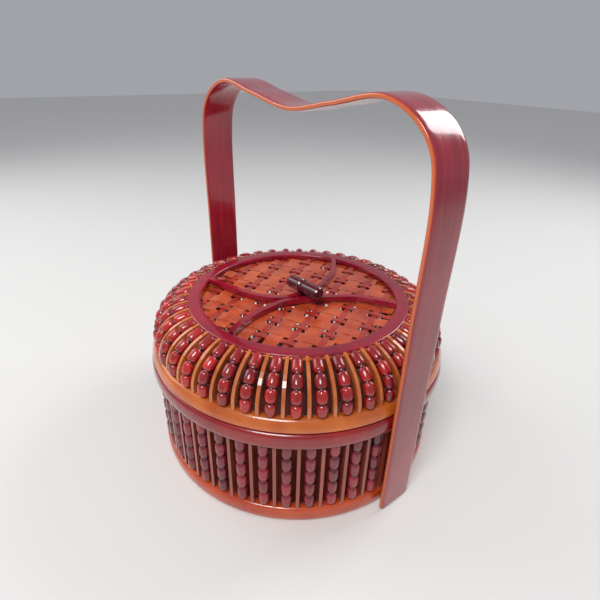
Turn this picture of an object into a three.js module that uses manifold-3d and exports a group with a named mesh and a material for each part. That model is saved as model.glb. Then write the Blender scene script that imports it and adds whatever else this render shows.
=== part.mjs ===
// Lidded lacquer basket: slat and bead walls between bent hoops, a woven lid and an arched strip handle.
// Millimetres, +Z up. The origin is the bottom centre and the handle's legs stand on the X axis.
import * as THREE from 'three';
import { mergeVertices } from 'three/addons/utils/BufferGeometryUtils.js';
import Module from 'manifold-3d';

const wasm = await Module();
wasm.setup();

// Overall sizes
const BASE_RADIUS = 92.8;
const BASE_HEIGHT = 10;
const WALL_RADIUS = 89.4;
const BODY_HEIGHT = 69.2;
const RIM_RADIUS = 95.5;
const RIM_HEIGHT = 10.7;
const HOOP_DEPTH = 7;
const CLEARANCE = 0.3;
const HOOP_SIDES = 60;

// Walls
const WALL_COUNT = 44;
const SLAT_WIDTH = 2;
const SLAT_DEPTH = 4;
const SKEWER_RADIUS = 0.9;
const BEAD_RADIUS = 3.25;
const NECK_RADIUS = 1.9;
const BODY_BEADS = 5;
const LID_BEADS = 4;
const STRING_SIDES = 4;
const EMBED = 2.5;

// Floor
const FLOOR_BOTTOM = 6;
const FLOOR_THICKNESS = 2;
const FLOOR_LEDGE = 3;

// Lid
const LID_RIM_HEIGHT = 7.5;
const LID_TOP = 100.5;
const TOP_RING_OUTER = 70.5;
const TOP_RING_INNER = 62.5;
const TOP_RING_THICKNESS = 4.2;
const LEDGE_INNER = 58.5;
const LEDGE_OUTER = 66;
const LEDGE_THICKNESS = 2.7;
const PANEL_THICKNESS = 1.8;
const LID_TURN = THREE.MathUtils.degToRad(60);

// Weave: wide and narrow strips cross, and a square gap is left at each crossing of the slits
const WEAVE_PITCH = 17.2;
const WEAVE_TURN = -32;
const NARROW_STRIP = 3.3;
const WEAVE_GAP = 2.7;
const WEAVE_EDGE = 4;

// Ribs and knob, in the lid's own turned axes
const RIB_WIDTH = 3.2;
const RIB_HEIGHT = 3.4;
const BACK_RIB = [[-60, 26], [-40, 7], [-25, -4], [-8, -7.2], [12.5, 5], [22, 17], [30, 34], [35, 60]];
const FRONT_RIB = [[-46, -48], [-33, -30], [-20, -18.5], [-8, -11.4], [12, -9.4], [33, -10], [45, -14.5], [62, -24]];
const KNOB_RADIUS = 4.75;
const KNOB_LENGTH = 26;
const KNOB_CENTRE = [3, -5.7];
const KNOB_TURN = THREE.MathUtils.degToRad(-54);
const PEG_RADIUS = 1.7;

// Handle
const HANDLE_WIDTH = 23;
const HANDLE_THICKNESS = 3;
const LEG_BOTTOM = 1.5;
const SHOULDER_HEIGHT = 221;
const SHOULDER_X = 66;
const SHOULDER_DROP = 36;
const DIP_HEIGHT = 211;

// Turns a closed geometry into a solid that can be joined and cut.
function toSolid(geometry) {
  const plain = geometry.clone();
  plain.deleteAttribute('normal');
  plain.deleteAttribute('uv');
  const merged = mergeVertices(plain, 1e-4);
  const vertProperties = new Float32Array(merged.attributes.position.array);
  const triVerts = new Uint32Array(merged.index.array);
  return new wasm.Manifold(new wasm.Mesh({ numProp: 3, vertProperties, triVerts }));
}

// Turns a solid back into a geometry.
function toGeometry(solid) {
  const mesh = solid.getMesh();
  const geometry = new THREE.BufferGeometry();
  geometry.setAttribute('position', new THREE.BufferAttribute(new Float32Array(mesh.vertProperties), 3));
  geometry.setIndex(new THREE.BufferAttribute(new Uint32Array(mesh.triVerts), 1));
  geometry.computeVertexNormals();
  return geometry;
}

// Turns a profile of [radius, height] pairs round the Z axis.
function revolve(profile, sides) {
  const points = profile.map(([radius, height]) => new THREE.Vector2(radius, height));
  const geometry = new THREE.LatheGeometry(points, sides);
  geometry.rotateX(Math.PI / 2);
  return geometry;
}

// Turns a closed profile, written anticlockwise, into a hoop.
function hoop(profile) {
  return toSolid(revolve([...profile, profile[0]], HOOP_SIDES));
}

// A flat round panel.
function disc(radius, bottom, top) {
  return toSolid(revolve([[0, bottom], [radius, bottom], [radius, top], [0, top]], HOOP_SIDES));
}

// The outline of a strip of one thickness that follows a flat curve.
function stripShape(curve, thickness, steps) {
  const one = [];
  const other = [];
  for (let i = 0; i <= steps; i += 1) {
    const t = i / steps;
    const point = curve.getPoint(t);
    const along = curve.getTangent(t);
    const x = -along.y * thickness / 2;
    const y = along.x * thickness / 2;
    one.push(new THREE.Vector2(point.x + x, point.y + y));
    other.unshift(new THREE.Vector2(point.x - x, point.y - y));
  }
  return new THREE.Shape([...one, ...other]);
}

// Bends a geometry that stands on the Z axis along a curve of [radius, height], by arc length.
function bend(geometry, curve) {
  const length = curve.getLength();
  const position = geometry.attributes.position;
  for (let i = 0; i < position.count; i += 1) {
    const u = THREE.MathUtils.clamp(position.getZ(i) / length, 0, 1);
    const point = curve.getPointAt(u);
    const along = curve.getTangentAt(u);
    const out = position.getX(i);
    const side = position.getY(i);
    position.setXYZ(i, point.x + out * along.y, side, point.y - out * along.x);
  }
  return geometry;
}

// The profile of a skewer with its beads: a neck at each end of a bead and a belly in its middle.
function stringProfile(length, start, end, beads) {
  const pitch = (end - start) / beads;
  const profile = [[0, 0], [SKEWER_RADIUS, 0]];
  for (let bead = 0; bead < beads; bead += 1) {
    profile.push([NECK_RADIUS, start + bead * pitch]);
    profile.push([BEAD_RADIUS, start + (bead + 0.5) * pitch]);
  }
  profile.push([NECK_RADIUS, end]);
  profile.push([SKEWER_RADIUS, length]);
  profile.push([0, length]);
  return profile;
}

// Copies of one geometry, evenly round the axis, as solids. The first is at half a step when shifted.
function around(geometry, shifted) {
  const first = toSolid(geometry);
  const copies = [];
  for (let i = 0; i < WALL_COUNT; i += 1) {
    const turn = 360 * (i + (shifted ? 0.5 : 0)) / WALL_COUNT;
    copies.push(first.rotate([0, 0, turn]));
  }
  return copies;
}

// Joins a carrying hoop and the pieces that stand on it.
function join(solids) {
  return wasm.Manifold.union(solids);
}

// Square gaps of a weave, inside a radius, to be cut from a panel.
function weaveGaps(radius, bottom, top) {
  const gaps = [];
  const offset = (NARROW_STRIP + WEAVE_GAP) / 2;
  const count = Math.ceil(radius / WEAVE_PITCH);
  const places = [];
  for (let i = -count; i <= count; i += 1) {
    places.push(i * WEAVE_PITCH - offset, i * WEAVE_PITCH + offset);
  }
  for (const x of places) {
    for (const y of places) {
      if (Math.hypot(x, y) < radius - WEAVE_EDGE) {
        const box = new THREE.BoxGeometry(WEAVE_GAP, WEAVE_GAP, top - bottom + 2);
        box.translate(x, y, (top + bottom) / 2);
        gaps.push(toSolid(box));
      }
    }
  }
  return join(gaps).rotate([0, 0, WEAVE_TURN]);
}

function lacquer(color, roughness) {
  return new THREE.MeshStandardMaterial({ color, roughness, metalness: 0 });
}

function node(name, solid, material) {
  const mesh = new THREE.Mesh(toGeometry(solid), material);
  mesh.name = name;
  return mesh;
}

// Base hoop with its ledge for the floor, and the body's slats standing on it.
function baseHoop() {
  const inner = BASE_RADIUS - HOOP_DEPTH;
  const ledgeTop = FLOOR_BOTTOM - CLEARANCE;
  const ring = hoop([
    [inner - FLOOR_LEDGE, 0],
    [BASE_RADIUS - 2, 0],
    [BASE_RADIUS, 3],
    [BASE_RADIUS, BASE_HEIGHT - 3],
    [BASE_RADIUS - 2, BASE_HEIGHT],
    [inner, BASE_HEIGHT],
    [inner, ledgeTop],
    [inner - FLOOR_LEDGE, ledgeTop],
  ]);
  const bottom = BASE_HEIGHT - EMBED;
  const top = BODY_HEIGHT - RIM_HEIGHT - CLEARANCE;
  const slat = new THREE.BoxGeometry(SLAT_DEPTH, SLAT_WIDTH, top - bottom);
  slat.translate(WALL_RADIUS, 0, (top + bottom) / 2);
  return join([ring, ...around(slat, true)]);
}

function floorPanel() {
  const radius = BASE_RADIUS - HOOP_DEPTH - CLEARANCE;
  const top = FLOOR_BOTTOM + FLOOR_THICKNESS;
  return disc(radius, FLOOR_BOTTOM, top);
}

// Body rim hoop, with the body's bead strings hanging from it down to the base hoop.
function bodyRim() {
  const low = BODY_HEIGHT - RIM_HEIGHT;
  const ring = hoop([
    [RIM_RADIUS - HOOP_DEPTH - 2, low],
    [RIM_RADIUS - 2.5, low],
    [RIM_RADIUS, low + 3.5],
    [RIM_RADIUS, BODY_HEIGHT - 3],
    [RIM_RADIUS - 1, BODY_HEIGHT],
    [RIM_RADIUS - HOOP_DEPTH - 2, BODY_HEIGHT],
  ]);
  const bottom = BASE_HEIGHT + CLEARANCE;
  const length = low + EMBED - bottom;
  const string = revolve(stringProfile(length, 1, low - bottom - 1, BODY_BEADS), STRING_SIDES);
  string.translate(WALL_RADIUS, 0, bottom);
  return join([ring, ...around(string, false)]);
}

// The dome's line, from inside the lid rim up and over to the top ring.
function domeCurve(startRadius, startHeight, endRadius, endHeight) {
  return new THREE.CubicBezierCurve(
    new THREE.Vector2(startRadius, startHeight),
    new THREE.Vector2(startRadius + 2, startHeight + 11),
    new THREE.Vector2(endRadius + 15, endHeight - 2.5),
    new THREE.Vector2(endRadius, endHeight),
  );
}

const lidBottom = BODY_HEIGHT + CLEARANCE;
const lidRimTop = lidBottom + LID_RIM_HEIGHT;
const ringBottom = LID_TOP - TOP_RING_THICKNESS;
const domeTop = (LID_TOP + ringBottom) / 2;

// Lid rim hoop with the lid's slats, which reach up to the top ring.
function lidRim() {
  const ring = hoop([
    [RIM_RADIUS - HOOP_DEPTH - 2, lidBottom],
    [RIM_RADIUS - 1, lidBottom],
    [RIM_RADIUS, lidBottom + 2],
    [RIM_RADIUS - 1, lidBottom + 5],
    [RIM_RADIUS - 4, lidRimTop],
    [RIM_RADIUS - HOOP_DEPTH - 2, lidRimTop],
  ]);
  const curve = domeCurve(WALL_RADIUS, lidRimTop - EMBED, TOP_RING_OUTER + 2 * CLEARANCE, domeTop - 0.4);
  const slat = new THREE.BoxGeometry(SLAT_DEPTH, SLAT_WIDTH, curve.getLength(), 1, 1, 4);
  slat.translate(0, 0, curve.getLength() / 2);
  bend(slat, curve);
  return join([ring, ...around(slat, true)]);
}

// Flat top ring with the lid's bead strings, which reach down to the lid rim.
function topRing() {
  const ring = hoop([
    [TOP_RING_INNER, ringBottom],
    [TOP_RING_OUTER, ringBottom],
    [TOP_RING_OUTER, LID_TOP - 0.8],
    [TOP_RING_OUTER - 0.8, LID_TOP],
    [TOP_RING_INNER + 0.8, LID_TOP],
    [TOP_RING_INNER, LID_TOP - 0.8],
  ]);
  const curve = domeCurve(WALL_RADIUS, lidRimTop + CLEARANCE, TOP_RING_OUTER - EMBED, domeTop);
  const length = curve.getLength();
  const profile = stringProfile(length, 0.8, length - EMBED - 0.5, LID_BEADS);
  const string = bend(revolve(profile, STRING_SIDES), curve);
  return join([ring, ...around(string, false)]);
}

// Hoop under the top ring that carries the woven panel.
function lidLedge() {
  const top = ringBottom - CLEARANCE;
  return hoop([
    [LEDGE_INNER, top - LEDGE_THICKNESS],
    [LEDGE_OUTER - 1, top - LEDGE_THICKNESS],
    [LEDGE_OUTER, top - LEDGE_THICKNESS + 1],
    [LEDGE_OUTER, top],
    [LEDGE_INNER, top],
  ]);
}

const panelRadius = TOP_RING_INNER - CLEARANCE;
const panelTop = ringBottom + PANEL_THICKNESS;
const ribBottom = panelTop + CLEARANCE;

function pegSolid(radius) {
  const top = ribBottom + RIB_HEIGHT + CLEARANCE + KNOB_RADIUS;
  const bottom = ringBottom - 1;
  const peg = new THREE.CylinderGeometry(radius, radius, top - bottom, 16);
  peg.rotateX(Math.PI / 2);
  peg.translate(KNOB_CENTRE[0], KNOB_CENTRE[1], (top + bottom) / 2);
  return toSolid(peg);
}

function lidPanel() {
  const panel = disc(panelRadius, ringBottom, panelTop);
  return panel.subtract(weaveGaps(panelRadius, ringBottom, panelTop)).subtract(pegSolid(PEG_RADIUS + CLEARANCE));
}

// A bent strip lying on the panel, its ends cut to the round of the top ring.
function rib(points) {
  const curve = new THREE.SplineCurve(points.map(([x, y]) => new THREE.Vector2(x, y)));
  const shape = stripShape(curve, RIB_WIDTH, 28);
  const strip = new THREE.ExtrudeGeometry(shape, { depth: RIB_HEIGHT, bevelEnabled: false });
  strip.translate(0, 0, ribBottom);
  return toSolid(strip).intersect(disc(panelRadius, ribBottom - 1, ribBottom + RIB_HEIGHT + 1));
}

// A toggle like a length of cane, thicker at its node and ends, on a peg through the panel.
function knob() {
  const half = KNOB_LENGTH / 2;
  const waist = KNOB_RADIUS - 0.6;
  const profile = [
    [0, -half],
    [waist - 0.6, -half],
    [waist, -half + 1],
    [waist, -4],
    [KNOB_RADIUS, -2.6],
    [KNOB_RADIUS - 0.5, -1.8],
    [KNOB_RADIUS, -1],
    [waist, 0.6],
    [waist, half - 1],
    [waist - 0.6, half],
    [0, half],
  ];
  const toggle = revolve(profile, 20);
  toggle.rotateY(Math.PI / 2);
  toggle.rotateZ(KNOB_TURN);
  toggle.translate(KNOB_CENTRE[0], KNOB_CENTRE[1], ribBottom + RIB_HEIGHT + CLEARANCE + KNOB_RADIUS);
  return join([toSolid(toggle), pegSolid(PEG_RADIUS)]);
}

// One bent strip: straight legs outside the rims, flared shoulders and a saddle between them.
function handle() {
  const leg = RIM_RADIUS + CLEARANCE + HANDLE_THICKNESS / 2;
  const half = [
    [leg, LEG_BOTTOM],
    [leg, BODY_HEIGHT / 2],
    [leg, BODY_HEIGHT],
    [leg, (BODY_HEIGHT + SHOULDER_HEIGHT - SHOULDER_DROP) / 2],
    [leg, SHOULDER_HEIGHT - SHOULDER_DROP],
    [(leg * 3 + SHOULDER_X) / 4, SHOULDER_HEIGHT - SHOULDER_DROP / 3],
    [SHOULDER_X, SHOULDER_HEIGHT],
    [SHOULDER_X / 2, (SHOULDER_HEIGHT + DIP_HEIGHT) / 2],
  ];
  const right = half.map(([x, z]) => new THREE.Vector2(x, z));
  const left = half.map(([x, z]) => new THREE.Vector2(-x, z)).reverse();
  const curve = new THREE.SplineCurve([...right, new THREE.Vector2(0, DIP_HEIGHT), ...left]);
  const shape = stripShape(curve, HANDLE_THICKNESS, 48);
  const strip = new THREE.ExtrudeGeometry(shape, { depth: HANDLE_WIDTH, bevelEnabled: false });
  strip.translate(0, 0, -HANDLE_WIDTH / 2);
  strip.rotateX(Math.PI / 2);
  return toSolid(strip);
}

const basket = new THREE.Group();
basket.add(node('base_hoop', baseHoop(), lacquer(0xb23a1c, 0.25)));
basket.add(node('floor_panel', floorPanel(), lacquer(0x7a2a1c, 0.4)));
basket.add(node('body_rim', bodyRim(), lacquer(0xa01418, 0.2)));
basket.add(node('handle', handle(), lacquer(0x8e1020, 0.22)));

const lid = new THREE.Group();
lid.rotation.z = LID_TURN;
lid.add(node('lid_rim', lidRim(), lacquer(0xc8641e, 0.25)));
lid.add(node('top_ring', topRing(), lacquer(0xa8101e, 0.2)));
lid.add(node('lid_ledge', lidLedge(), lacquer(0xb8581c, 0.35)));
lid.add(node('lid_panel', lidPanel(), lacquer(0xb8381c, 0.35)));
lid.add(node('rib_back', rib(BACK_RIB), lacquer(0x9c2418, 0.3)));
lid.add(node('rib_front', rib(FRONT_RIB), lacquer(0x9c2418, 0.3)));
lid.add(node('knob', knob(), lacquer(0x4a0c16, 0.18)));
basket.add(lid);

export default basket;
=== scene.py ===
# %% [markdown]
# # A lidded lacquer basket
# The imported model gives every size. This script adds fine hoops, beads, slats and a true weave,
# then lacquers every piece. Sizes are written in millimetres, and each mesh is made in metres, in
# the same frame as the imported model.

# %% Load the frame
import bmesh
import bpy
import numpy as np
from mathutils import Matrix, Quaternion, Vector


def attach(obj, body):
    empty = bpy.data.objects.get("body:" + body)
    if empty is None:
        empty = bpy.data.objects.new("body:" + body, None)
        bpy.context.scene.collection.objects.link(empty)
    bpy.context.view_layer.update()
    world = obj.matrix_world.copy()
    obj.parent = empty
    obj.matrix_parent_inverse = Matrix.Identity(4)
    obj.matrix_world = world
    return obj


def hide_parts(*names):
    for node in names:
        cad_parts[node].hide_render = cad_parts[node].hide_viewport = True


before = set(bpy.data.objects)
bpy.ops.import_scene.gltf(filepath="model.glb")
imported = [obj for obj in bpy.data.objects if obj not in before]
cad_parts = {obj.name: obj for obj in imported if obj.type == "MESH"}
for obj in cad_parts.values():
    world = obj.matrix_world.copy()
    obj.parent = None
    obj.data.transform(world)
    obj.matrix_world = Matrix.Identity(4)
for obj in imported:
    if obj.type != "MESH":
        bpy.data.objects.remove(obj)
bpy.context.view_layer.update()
MM = 0.001
COUNT = 44  # strings in each wall, and as many slats
LID_TURN = np.radians(60)

# %% [markdown]
# ## Lacquer
# Red lacquer is a clear coat over a colour that is never quite even. Numbers on a surface are
# written as ordinary sums: the class below turns each sum into a Math node.

# %% Sums as nodes
GRAIN_SHARE = 1.1
CLOUD_SHARE = 0.9
TONE_SHIFT = -0.5
CLOUD_SCALE = 18.0
ROUGHNESS_SPREAD = 0.16
RELIEF_DEPTH = 0.0006
COAT = 0.6
COAT_ROUGHNESS = 0.08


class Value:
    """A number that changes over a surface."""

    def __init__(self, tree, socket):
        self.tree = tree
        self.socket = socket

    def sum_node(self, operation, first, second):
        node = self.tree.nodes.new("ShaderNodeMath")
        node.operation = operation
        for place, item in enumerate((first, second)):
            if isinstance(item, Value):
                self.tree.links.new(item.socket, node.inputs[place])
            else:
                node.inputs[place].default_value = item
        return Value(self.tree, node.outputs[0])

    def __add__(self, other):
        return self.sum_node("ADD", self, other)

    def __mul__(self, other):
        return self.sum_node("MULTIPLY", self, other)

    def __rsub__(self, other):
        return self.sum_node("SUBTRACT", other, self)

    __radd__ = __add__
    __rmul__ = __mul__


def add_node(tree, kind, settings=None, **inputs):
    """Adds a node, its settings first, then the values or links of its sockets."""
    node = tree.nodes.new(kind)
    for key, item in (settings or {}).items():
        setattr(node, key, item)
    for key, item in inputs.items():
        socket = node.inputs[key.replace("_", " ")]
        if isinstance(item, Value):
            tree.links.new(item.socket, socket)
        elif isinstance(item, bpy.types.NodeSocket):
            tree.links.new(item, socket)
        else:
            socket.default_value = item
    return node


def lacquer(
    name, dark, light, stretch=(1, 1, 1), scale=60, roughness=0.22, bump=0.08, painted_end_shade_and_tone=False, edge=None
):
    """Two tones mixed by stretched noise. The piece's own 'end' attribute darkens it when asked, or brings in
    the edge colour. On beads that darkening is painted shade at both ends, where the beads meet, with each
    bead's own tone mixed in."""
    material = bpy.data.materials.new(name)
    material.use_nodes = True
    tree = material.node_tree
    shader = tree.nodes["Principled BSDF"]
    place = add_node(tree, "ShaderNodeTexCoord").outputs["Object"]
    mapped = add_node(tree, "ShaderNodeMapping", Vector=place, Scale=stretch).outputs[0]
    grain = add_node(tree, "ShaderNodeTexNoise", Vector=mapped, Scale=scale, Detail=6.0)
    cloud = add_node(tree, "ShaderNodeTexNoise", Vector=place, Scale=CLOUD_SCALE, Detail=2.0)
    fine = Value(tree, grain.outputs[0])
    tone = fine * GRAIN_SHARE + Value(tree, cloud.outputs[0]) * CLOUD_SHARE + TONE_SHIFT
    if painted_end_shade_and_tone:
        # Painted shade: bead ends darken where the beads meet, and each bead's own random tone rides in the
        # same attribute.
        mark = add_node(tree, "ShaderNodeAttribute", {"attribute_name": "end"}).outputs["Fac"]
        tone = tone * (1 - Value(tree, mark))
    mix = add_node(tree, "ShaderNodeMix", {"data_type": "RGBA"})
    tree.links.new(tone.socket, mix.inputs["Factor"])
    mix.inputs[6].default_value = (*dark, 1)
    mix.inputs[7].default_value = (*light, 1)
    colour = mix.outputs[2]
    if edge:
        mark = add_node(tree, "ShaderNodeAttribute", {"attribute_name": "end"}).outputs["Fac"]
        trim = add_node(tree, "ShaderNodeMix", {"data_type": "RGBA"}, Factor=mark)
        tree.links.new(colour, trim.inputs[6])
        trim.inputs[7].default_value = (*edge, 1)
        colour = trim.outputs[2]
    tree.links.new(colour, shader.inputs["Base Color"])
    rough = fine * ROUGHNESS_SPREAD + (roughness - ROUGHNESS_SPREAD / 2)
    tree.links.new(rough.socket, shader.inputs["Roughness"])
    relief = add_node(tree, "ShaderNodeBump", Height=fine, Strength=bump, Distance=RELIEF_DEPTH)
    tree.links.new(relief.outputs[0], shader.inputs["Normal"])
    shader.inputs["Coat Weight"].default_value = COAT
    shader.inputs["Coat Roughness"].default_value = COAT_ROUGHNESS
    return material


CRIMSON = lacquer("crimson lacquer", (0.12, 0.002, 0.012), (0.46, 0.008, 0.03))
DEEP_RED = lacquer("deep red lacquer", (0.13, 0.003, 0.008), (0.42, 0.018, 0.016))
ORANGE_RED = lacquer("orange red lacquer", (0.3, 0.012, 0.006), (0.68, 0.1, 0.02))
AMBER = lacquer("amber lacquer", (0.34, 0.04, 0.006), (0.76, 0.2, 0.028))
BEAD = lacquer("bead lacquer", (0.05, 0.003, 0.008), (0.62, 0.02, 0.014), scale=110, painted_end_shade_and_tone=True)
DARK_BEAD = lacquer("darker bead lacquer", (0.03, 0.003, 0.01), (0.36, 0.02, 0.03), scale=110, painted_end_shade_and_tone=True)
SLAT_RED = lacquer("red brown slat lacquer", (0.14, 0.014, 0.01), (0.46, 0.09, 0.05), (1, 1, 0.1), 260)
SLAT_AMBER = lacquer("amber slat lacquer", (0.36, 0.05, 0.01), (0.74, 0.23, 0.05), (1, 1, 0.2), 260)
WIDE_STRIP = lacquer("strip lacquer", (0.26, 0.012, 0.008), (0.72, 0.13, 0.03), scale=90, roughness=0.32)
NARROW_STRIP = lacquer(
    "narrow strip lacquer", (0.2, 0.008, 0.01), (0.56, 0.05, 0.02), scale=90, roughness=0.3
)
FLOOR_RED = lacquer("floor lacquer", (0.08, 0.01, 0.006), (0.3, 0.06, 0.03), (0.15, 1, 1), 120, 0.4)
EDGE_ORANGE = (0.62, 0.13, 0.03)
HANDLE_RED = lacquer(
    "handle lacquer",
    (0.14, 0.002, 0.012),
    (0.44, 0.012, 0.03),
    stretch=(0.05, 1, 0.05),
    scale=420,
    roughness=0.18,
    edge=EDGE_ORANGE,
)
KNOB_MAROON = lacquer("knob lacquer", (0.03, 0.002, 0.006), (0.14, 0.006, 0.022), scale=70, roughness=0.16)
print("lacquers", len(bpy.data.materials))

# %% [markdown]
# ## Surfaces from grids
# Each new piece is a block of grids, all alike: copies, rows along the piece and points round it.
# The faces join each point to its neighbours, so one function makes hoops, beads, slats and strips.

# %% Grid to mesh
def grid_piece(name, points, material, body, node=None, closed_rows=False, smooth=True, end=None):
    """Joins points[copy, row, column] into faces. Columns always close, and rows may close too."""
    copies, rows, columns, _ = points.shape
    number = np.arange(copies * rows * columns).reshape(copies, rows, columns)
    here = number if closed_rows else number[:, :-1]
    above = np.roll(number, -1, 1) if closed_rows else number[:, 1:]
    quads = np.stack([here, np.roll(here, -1, 2), np.roll(above, -1, 2), above], -1).reshape(-1, 4)
    mesh = bpy.data.meshes.new(name)
    mesh.from_pydata(points.reshape(-1, 3), [], quads)
    if end is not None:
        mesh.attributes.new("end", "FLOAT", "POINT").data.foreach_set("value", end.ravel())
    work = bmesh.new()
    work.from_mesh(mesh)
    bmesh.ops.remove_doubles(work, verts=work.verts, dist=1e-7)
    holes = [edge for edge in work.edges if edge.is_boundary]
    if holes:
        bmesh.ops.holes_fill(work, edges=holes, sides=columns)
    bmesh.ops.recalc_face_normals(work, faces=work.faces)
    work.to_mesh(mesh)
    work.free()
    mesh.polygons.foreach_set("use_smooth", np.full(len(mesh.polygons), smooth))
    mesh.materials.append(material)
    piece = bpy.data.objects.new(name, mesh)
    bpy.context.scene.collection.objects.link(piece)
    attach(piece, body)
    if node:
        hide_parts(node)
    print(name, len(mesh.polygons), "faces")
    return piece


def turned(points, angles):
    """Copies points[row, column] round the Z axis, one copy for each angle."""
    c = np.cos(angles)[:, None, None]
    s = np.sin(angles)[:, None, None]
    x, y, z = points[..., 0], points[..., 1], points[..., 2]
    return np.stack([c * x - s * y, s * x + c * y, np.broadcast_to(z, (c * x).shape)], -1)


# %% [markdown]
# ## Hoops
# A hoop is cane or wood bent to a circle, with a soft, rounded section. The section is a
# superellipse, |x/a|^n + |z/b|^n = 1, carried once round the axis.

# %% Hoops
SECTION_POINTS = 40
HOOP_STEPS = 240
RIM_OUTER = 95.5
RIM_INNER = 87
BODY_TOP = 69.2
LID_BOTTOM = 69.5
LID_RIM_TOP = 77
RING_OUTER = 70.5
RING_INNER = 62.5
RING_BOTTOM = 96.3
LID_TOP = 100.5


def hoop(name, inner, outer, low, high, power, material, body, node=None, lean=0.0):
    """Radius = middle + half width * sign(cos t) |cos t|^(2/n), and height the same with sin t."""
    t = np.linspace(0, 2 * np.pi, SECTION_POINTS, endpoint=False)
    across = np.sign(np.cos(t)) * np.abs(np.cos(t)) ** (2 / power)
    up = np.sign(np.sin(t)) * np.abs(np.sin(t)) ** (2 / power)
    radius = (inner + outer) / 2 + (outer - inner) / 2 * across - lean * (up + 1) * (across + 1) / 4
    height = (low + high) / 2 + (high - low) / 2 * up
    a = np.linspace(0, 2 * np.pi, HOOP_STEPS, endpoint=False)[:, None]
    heights = np.broadcast_to(height, (HOOP_STEPS, SECTION_POINTS))
    points = np.stack([radius * np.cos(a), radius * np.sin(a), heights], -1)
    return grid_piece(name, points[None] * MM, material, body, node, closed_rows=True)


hoop("base_hoop_fine", 85.8, 92.8, 0, 10, 3, ORANGE_RED, "basket", "base_hoop")
hoop("body_rim_fine", RIM_INNER, RIM_OUTER, 58.5, BODY_TOP, 3, DEEP_RED, "basket", "body_rim")
hoop("lid_rim_fine", RIM_INNER, RIM_OUTER, LID_BOTTOM, LID_RIM_TOP, 3, AMBER, "lid", "lid_rim", lean=3)
hoop("top_ring_fine", RING_INNER, RING_OUTER, RING_BOTTOM, LID_TOP, 6, CRIMSON, "lid", "top_ring")
hoop("top_ring_edge", 69.6, 71.1, 97.2, 99.2, 2.5, AMBER, "lid")

# %% [markdown]
# ## Bead strings and slats
# Barrel-shaped beads are threaded on upright skewers, with a thin slat between each two strings. On
# the lid both follow the dome, so each is made about a line: its radius and its height.

# %% Lines that the walls follow
WALL_RADIUS = 89.4
DOME_TOP = 98.4


def wall_line(low, high, rows):
    """A straight upright line at the wall's radius."""
    t = np.linspace(0, 1, rows)
    return np.stack([np.full(rows, WALL_RADIUS), low + (high - low) * t], -1)


def dome_line(low, end_radius, rows):
    """A cubic Bezier line (1-t)^3 a + 3(1-t)^2 t b + 3(1-t) t^2 c + t^3 d over the lid's shoulder."""
    t = np.linspace(0, 1, rows)[:, None]
    a = np.array([WALL_RADIUS, low])
    b = np.array([WALL_RADIUS + 2, low + 11])
    c = np.array([end_radius + 15, DOME_TOP - 2.5])
    d = np.array([end_radius, DOME_TOP])
    return (1 - t) ** 3 * a + 3 * (1 - t) ** 2 * t * b + 3 * (1 - t) * t ** 2 * c + t ** 3 * d


def about_line(line, across, deep):
    """Puts a section [row, column] round a line: across runs round the basket, and deep outwards."""
    along = np.gradient(line, axis=0)
    along /= np.linalg.norm(along, axis=1, keepdims=True)
    out = np.stack([along[:, 1], -along[:, 0]], -1)
    radius = line[:, :1] + deep * out[:, :1]
    height = line[:, 1:] + deep * out[:, 1:]
    return np.stack([radius, across, height], -1) * MM


# %% [markdown]
# The section is a circle for a bead, whose radius swells and shrinks along the line, and a plain
# rectangle for a slat or a skewer. One string or slat is made and then turned into all its copies.
# Each bead gets its own brightness, because hand-lacquered beads never match, and painted shade darkens both
# ends of each bead, where the beads meet.

# %% Beads, skewers and slats
NECK = 1.2
BELLY = 2.05
BEAD_SIDES = 12
BEAD_ROWS = 10


def beads(name, line, count, material, body, turn):
    """Radius = neck + belly * (1 - |2u - 1|^4)^(1/2), where u runs from 0 to 1 over each bead."""
    u = np.linspace(0, count, len(line)) % 1
    u[-1] = 1
    bulge = np.sqrt(np.clip(1 - np.abs(2 * u - 1) ** 4, 0, 1))
    radius = (NECK + BELLY * bulge)[:, None]
    t = np.linspace(0, 2 * np.pi, BEAD_SIDES, endpoint=False)
    points = about_line(line, radius * np.sin(t), radius * np.cos(t))
    angles = turn + 2 * np.pi * np.arange(COUNT) / COUNT
    number = np.minimum(np.linspace(0, count, len(line)).astype(int), count - 1)
    shade = np.random.default_rng(7).uniform(-0.45, 0.3, (COUNT, count))[:, number]
    # Painted shade at both ends of each bead, where it meets the next, plus each bead's own random tone.
    end = np.broadcast_to((np.abs(2 * u - 1) ** 8 + shade)[..., None], (COUNT, len(line), BEAD_SIDES))
    return grid_piece(name, turned(points, angles), material, body, end=np.ascontiguousarray(end))


def bars(name, line, half_width, half_depth, material, body, turn):
    """A four-sided bar along a line, one for each slat or skewer."""
    across = np.broadcast_to(half_width * np.array([-1, 1, 1, -1]), (len(line), 4))
    deep = np.broadcast_to(half_depth * np.array([-1, -1, 1, 1]), (len(line), 4))
    angles = turn + 2 * np.pi * np.arange(COUNT) / COUNT
    copies = turned(about_line(line, across, deep), angles)
    return grid_piece(name, copies, material, body, smooth=False)


HALF_STEP = np.pi / COUNT
beads("body_beads", wall_line(10.5, 58.2, 5 * BEAD_ROWS + 1), 5, DARK_BEAD, "basket", 0)
bars("body_skewers", wall_line(8, 61, 2), 0.7, 0.7, SLAT_AMBER, "basket", 0)
bars("body_slats", wall_line(8, 61, 2), 0.95, 2, SLAT_RED, "basket", HALF_STEP)
beads("lid_beads", dome_line(77.4, 70, 4 * BEAD_ROWS + 1), 4, BEAD, "lid", LID_TURN)
bars("lid_skewers", dome_line(75, 68, 12), 0.7, 0.7, SLAT_AMBER, "lid", LID_TURN)
bars("lid_slats", dome_line(75, 69.8, 12), 0.95, 1.9, SLAT_AMBER, "lid", LID_TURN + HALF_STEP)

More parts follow.
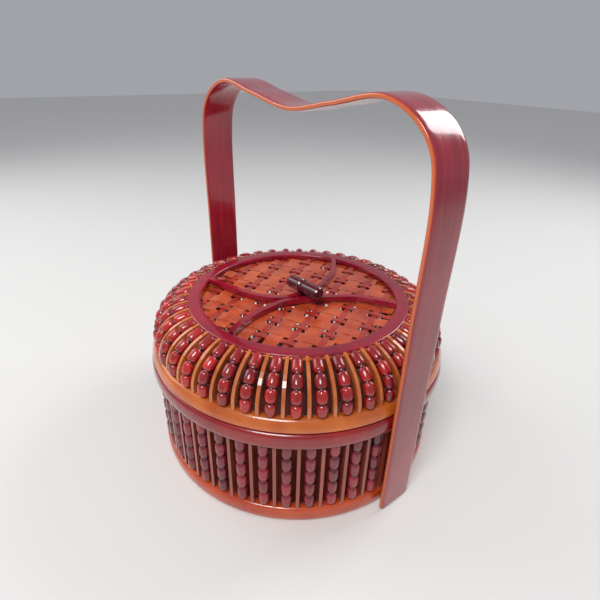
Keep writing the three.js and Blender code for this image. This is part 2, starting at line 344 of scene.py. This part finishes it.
# %% [markdown]
# ## The woven panel
# Wide and narrow strips take turns and pass over and under each other. Each strip is a flat bar
# whose height is a cosine, so it is up at one crossing and down at the next.

# %% Woven strips
PITCH = 17.2
WEAVE_TURN = LID_TURN - np.radians(32)
PANEL_RADIUS = 62.1
PANEL_MIDDLE = 97.2
STRIP_WAVE = 0.4
NARROW_WIDTH = 3.3
GAP = 2.7


def strips(name, half_width, shift, family, material, node=None):
    """Height = middle + wave * cos(pi v / half pitch) * (-1)^j for strip j, opposite across it."""
    places = np.arange(-4, 5) * PITCH + shift
    places = places[np.abs(places) + half_width < PANEL_RADIUS - 1]
    reach = np.sqrt(PANEL_RADIUS ** 2 - (np.abs(places) + half_width) ** 2)
    v = reach[:, None] * np.linspace(-1, 1, 73)
    order = np.rint(places / (PITCH / 2))
    height = STRIP_WAVE * np.cos(2 * np.pi * v / PITCH) * ((-1) ** order)[:, None] * (1 if family == 0 else -1)
    corner_across = half_width * np.array([-1, 1, 1, -1])
    corner_up = 0.28 * np.array([-1, -1, 1, 1])
    across = np.broadcast_to(places[:, None, None] + corner_across, (*v.shape, 4))
    along = np.broadcast_to(v[..., None], across.shape)
    up = PANEL_MIDDLE + height[..., None] + corner_up
    x, y = (along, across) if family == 0 else (across, along)
    c, s = np.cos(WEAVE_TURN), np.sin(WEAVE_TURN)
    points = np.stack([c * x - s * y, s * x + c * y, up], -1) * MM
    return grid_piece(name, points, material, "lid", node, smooth=False)


WIDE_HALF = (PITCH - NARROW_WIDTH - 2 * GAP) / 2
strips("wide_strips_along", WIDE_HALF, PITCH / 2, 0, WIDE_STRIP, "lid_panel")
strips("wide_strips_across", WIDE_HALF, PITCH / 2, 1, WIDE_STRIP)
strips("narrow_strips_along", NARROW_WIDTH / 2, 0, 0, NARROW_STRIP)
strips("narrow_strips_across", NARROW_WIDTH / 2, 0, 1, NARROW_STRIP)

# %% [markdown]
# ## The handle
# One flat strip is bent over two shoulders with a saddle between them. A smooth line is drawn
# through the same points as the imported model's, and a section with soft edges follows it.

# %% Handle
LEG = 97.3
DIP = 211
HALF_WIDTH = 11.5
HALF_THICKNESS = 1.5
STRIP_POINTS = 40
STRETCH_STEPS = 14
HALF_HANDLE = np.array(
    [[LEG, 1.5], [LEG, 34.6], [LEG, 69.2], [LEG, 127.1], [LEG, 185], [89.5, 209], [66, 221], [33, 216]]
)


def smooth_line(points, steps):
    """A Catmull-Rom line: a cubic on each stretch, whose slopes are half the chord past each point."""
    padded = np.vstack([points[:1], points, points[-1:]])
    stretches = len(points) - 1
    a, b, c, d = (padded[i:i + stretches, None] for i in range(4))
    start, finish = (c - a) / 2, (d - b) / 2
    t = np.linspace(0, 1, steps, endpoint=False)[None, :, None]
    line = (2 * b - 2 * c + start + finish) * t ** 3
    line = line + (3 * c - 3 * b - 2 * start - finish) * t ** 2 + start * t + b
    return np.vstack([line.reshape(-1, 2), points[-1:]])


handle_points = np.vstack([HALF_HANDLE, [[0, DIP]], HALF_HANDLE[::-1] * [-1, 1]])
handle_line = smooth_line(handle_points, STRETCH_STEPS)
around_strip = np.linspace(0, 2 * np.pi, STRIP_POINTS, endpoint=False)
strip_across = HALF_WIDTH * np.sign(np.cos(around_strip)) * np.abs(np.cos(around_strip)) ** 0.25
strip_deep = HALF_THICKNESS * np.sign(np.sin(around_strip)) * np.abs(np.sin(around_strip)) ** 0.5
strip_shape = (len(handle_line), STRIP_POINTS)
handle_grid = about_line(
    handle_line, np.broadcast_to(strip_across, strip_shape), np.broadcast_to(strip_deep, strip_shape)
)
strip_edge = np.broadcast_to(np.abs(strip_across / HALF_WIDTH) ** 40, (1, *strip_shape))
handle_edge = np.ascontiguousarray(strip_edge)
grid_piece("handle_fine", handle_grid[None], HANDLE_RED, "basket", "handle", end=handle_edge)

# %% [markdown]
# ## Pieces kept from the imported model
# The ribs, knob, floor and inner hoop already have their true shapes, so each one only gets its
# lacquer.

# %% Lacquer on kept pieces
KEPT = {
    "rib_back": CRIMSON,
    "rib_front": CRIMSON,
    "knob": KNOB_MAROON,
    "floor_panel": FLOOR_RED,
    "lid_ledge": AMBER,
}
for node_name, finish in KEPT.items():
    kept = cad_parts[node_name]
    kept.data.materials.clear()
    kept.data.materials.append(finish)
print("kept", len(KEPT))

# %% [markdown]
# ## Floor, light and camera
# The camera was worked out from the mat's squares: its place and its turn are in the mat's axes,
# which the last rotation brings into the basket's own.

# %% Studio
floor_mesh = bpy.data.meshes.new("studio_floor")
floor_mesh.from_pydata([(-3, -3, 0), (3, -3, 0), (3, 3, 0), (-3, 3, 0)], [], [(0, 1, 2, 3)])
studio_floor = bpy.data.objects.new("studio_floor", floor_mesh)
bpy.context.scene.collection.objects.link(studio_floor)
pale = bpy.data.materials.new("pale floor")
pale.use_nodes = True
pale.node_tree.nodes["Principled BSDF"].inputs["Base Color"].default_value = (0.8, 0.79, 0.76, 1)
pale.node_tree.nodes["Principled BSDF"].inputs["Roughness"].default_value = 0.8
floor_mesh.materials.append(pale)


def soft_lamp(name, place, power, size):
    """A square lamp that faces the basket."""
    light = bpy.data.lights.new(name, "AREA")
    light.energy = power
    light.size = size
    lamp = bpy.data.objects.new(name, light)
    lamp.location = place
    lamp.rotation_euler = (Vector((0, 0, 0.08)) - Vector(place)).to_track_quat("-Z", "Y").to_euler()
    bpy.context.scene.collection.objects.link(lamp)


soft_lamp("key", (0.3, -0.5, 0.9), 6, 0.35)
soft_lamp("fill", (-0.7, -0.4, 0.6), 2.6, 0.6)
soft_lamp("back", (0.1, 0.8, 0.7), 3.2, 0.4)
world = bpy.data.worlds.new("studio")
world.use_nodes = True
world.node_tree.nodes["Background"].inputs[0].default_value = (0.9, 0.92, 1, 1)
world.node_tree.nodes["Background"].inputs[1].default_value = 0.4
bpy.context.scene.world = world

MAT_AXIS = (126.3, 93.5)  # where the basket's axis stands on the mat
EYE = (89.046, -159.445, 233.3146)
SENSOR = 36
FOCAL_PIXELS = 443.0863
IMAGE_PIXELS = 600
FOCAL = FOCAL_PIXELS / IMAGE_PIXELS * SENSOR
tilt = Vector((0.498, -0.0096, 0.1401))
level = Matrix(((1, 0, 0), (0, 0, -1), (0, 1, 0)))
right, down, ahead = level @ Quaternion(tilt.normalized(), tilt.length).to_matrix()
seen = Matrix((right, -down, -ahead)).transposed().to_4x4()
eye_from_axis = Vector((EYE[0] - MAT_AXIS[0], EYE[1] - MAT_AXIS[1], EYE[2]))
place = Matrix.Translation(eye_from_axis * MM)
camera = bpy.data.objects.new("camera", bpy.data.cameras.new("camera"))
camera.data.lens = FOCAL
camera.data.sensor_width = SENSOR
camera.data.clip_start = 0.01
camera.matrix_world = Matrix.Rotation(LID_TURN, 4, "Z") @ place @ seen
bpy.context.scene.collection.objects.link(camera)
bpy.context.scene.camera = camera
bpy.context.scene.view_settings.view_transform = "Standard"
